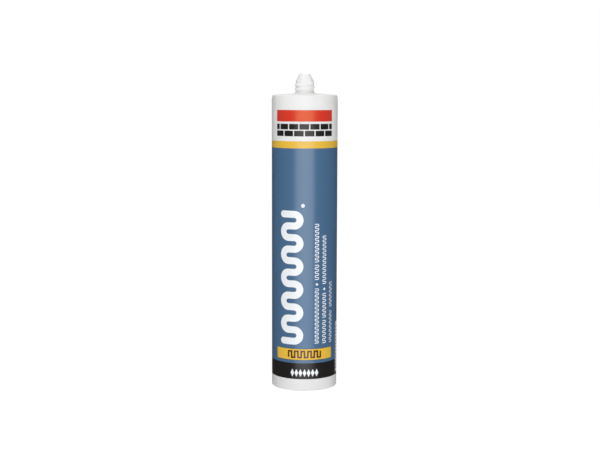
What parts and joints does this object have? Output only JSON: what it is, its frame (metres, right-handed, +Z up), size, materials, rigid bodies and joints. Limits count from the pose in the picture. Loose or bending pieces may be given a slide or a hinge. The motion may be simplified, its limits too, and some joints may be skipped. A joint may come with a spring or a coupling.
{
  "type": "caulk tube",
  "caption": "Round moulded caulk tube with an open base, a coned head, a threaded neck with a closed tip, and a plunger that slides up its bore behind the filling.",
  "frame": {"origin": "centre of the base ring, on the surface that the tube stands on", "axes": "+Z up the barrel towards the tip; -Y is the side that the print's front faces"},
  "size_m": [0.0494, 0.0494, 0.2357],
  "materials": {
    "barrel": "white moulded polyethylene, satin, with a glossy direct print on the outside",
    "plunger": "natural white moulded polyethylene",
    "sealant": "soft white paste"
  },
  "bodies": {
    "barrel": {"barrel": "barrel", "sealant": "sealant"},
    "plunger": {"plunger": "plunger"}
  },
  "joints": [
    {"name": "plunger_slide", "type": "slide", "parent": "barrel", "child": "plunger", "axis": [0, 0, 1], "range_m": [0, 0.18229], "deforming": ["sealant"]}
  ]
}
